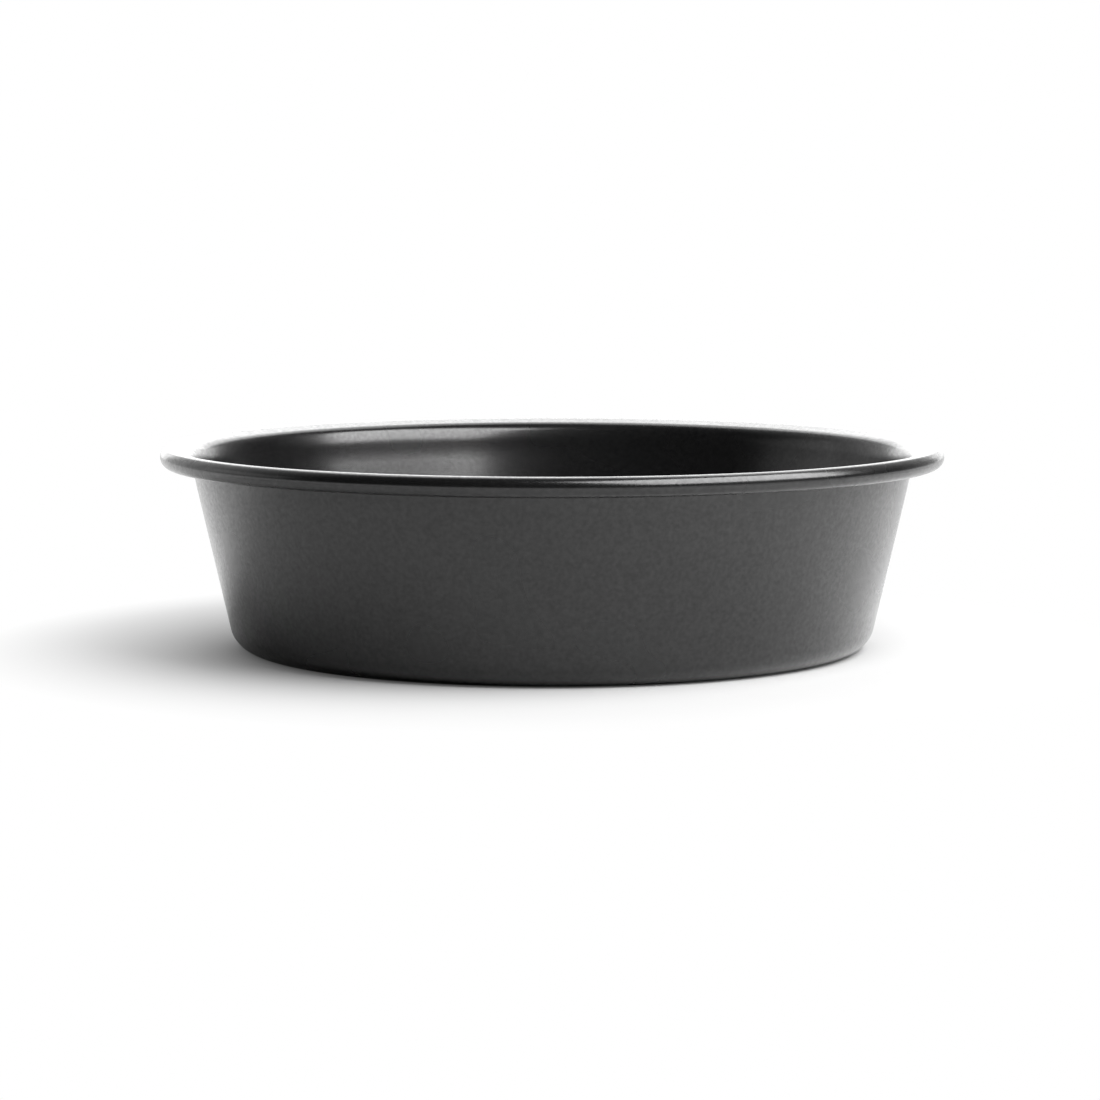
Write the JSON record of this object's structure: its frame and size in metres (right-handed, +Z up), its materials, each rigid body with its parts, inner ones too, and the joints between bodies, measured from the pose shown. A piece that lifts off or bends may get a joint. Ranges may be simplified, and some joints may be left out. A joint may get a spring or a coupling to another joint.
{
  "type": "round cake pan",
  "caption": "Round drawn-steel cake pan with a tapered wall, rounded base corner, out-turned lip and rolled wired rim, in a dark satin non-stick finish; holds batter for baking.",
  "frame": {"origin": "centre of the base, on the surface that the pan stands on", "axes": "+Z up along the pan's axis, out of its mouth; -Y is the side that faces the camera in the picture"},
  "size_m": [0.2506, 0.2506, 0.065],
  "materials": {
    "nonstick_steel": "dark grey satin non-stick coating on carbon steel",
    "wire_steel": "plain drawn steel wire, closed inside the rim"
  },
  "bodies": {
    "root": {"pan_shell": "nonstick_steel", "rim_wire": "wire_steel"}
  },
  "joints": []
}
